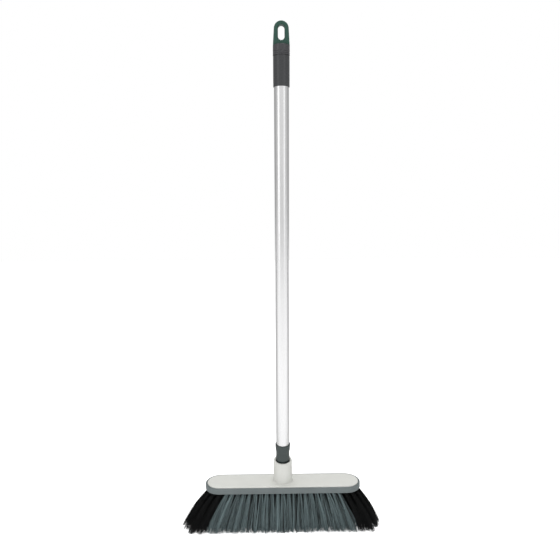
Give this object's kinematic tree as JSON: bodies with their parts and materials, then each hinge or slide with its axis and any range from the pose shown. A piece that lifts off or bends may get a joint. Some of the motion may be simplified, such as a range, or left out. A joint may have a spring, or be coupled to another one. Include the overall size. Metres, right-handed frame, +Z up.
{
  "type": "telescopic broom",
  "caption": "Indoor broom with a soft flared bristle head, a bumper round its block, and a telescopic tube handle with twist collar, grip and hanging loop.",
  "frame": {"origin": "middle of the bristle foot, on the floor", "axes": "+X along the block, +Z up; the handle leans from +Z towards -Y"},
  "size_m": [0.3772, 0.1462, 0.9029],
  "materials": {
    "white_plastic": "satin",
    "grey_rubber": "matte",
    "grey_bristle": "matte",
    "black_bristle": "matte",
    "black_rubber": "matte",
    "dark_plastic": "satin",
    "aluminium": "satin",
    "steel": "satin",
    "nylon": "satin",
    "grip_rubber": "matte",
    "green_plastic": "satin",
    "collar_plastic": "satin"
  },
  "bodies": {
    "head": {"broom_block": "white_plastic", "edge_bumper": "grey_rubber", "tufts_1_black_left": "black_bristle", "tufts_1_grey": "grey_bristle", "tufts_1_black_right": "black_bristle", "tufts_2_black_left": "black_bristle", "tufts_2_grey": "grey_bristle", "tufts_2_black_right": "black_bristle", "tufts_3_black_left": "black_bristle", "tufts_3_grey": "grey_bristle", "tufts_3_black_right": "black_bristle", "tufts_4_black_left": "black_bristle", "tufts_4_grey": "grey_bristle", "tufts_4_black_right": "black_bristle", "tufts_5_black_left": "black_bristle", "tufts_5_grey": "grey_bristle", "tufts_5_black_right": "black_bristle"},
    "screw_washer": {"mouth_washer": "black_rubber"},
    "lower_handle": {"thread_tip": "dark_plastic", "inner_tube": "aluminium", "tip_pin": "steel", "guide_plug": "nylon"},
    "upper_handle": {"outer_tube": "aluminium", "grip_sleeve": "grip_rubber", "lock_jaw": "nylon", "hanger_cap": "dark_plastic", "hanger_loop": "green_plastic"},
    "collar": {"lock_collar": "collar_plastic"}
  },
  "joints": [
    {"name": "screw_travel", "type": "slide", "parent": "head", "child": "screw_washer", "axis": [0, -0.1219, 0.9925], "range_m": [0, 0.025]},
    {"name": "handle_unscrew", "type": "hinge", "parent": "screw_washer", "child": "lower_handle", "pos_m": [0, -0.00366, 0.11428], "axis": [0, -0.1219, 0.9925], "range_deg": [0, 1800]},
    {"name": "handle_extend", "type": "slide", "parent": "lower_handle", "child": "upper_handle", "axis": [0, -0.1219, 0.9925], "range_m": [0, 0.5]},
    {"name": "collar_twist", "type": "hinge", "parent": "upper_handle", "child": "collar", "pos_m": [0, -0.00731, 0.14405], "axis": [0, -0.1219, 0.9925], "range_deg": [0, 90]}
  ],
  "couplings": [
    {"joint": "screw_travel", "follows": "handle_unscrew", "m_per_rad": 0.00079577}
  ]
}
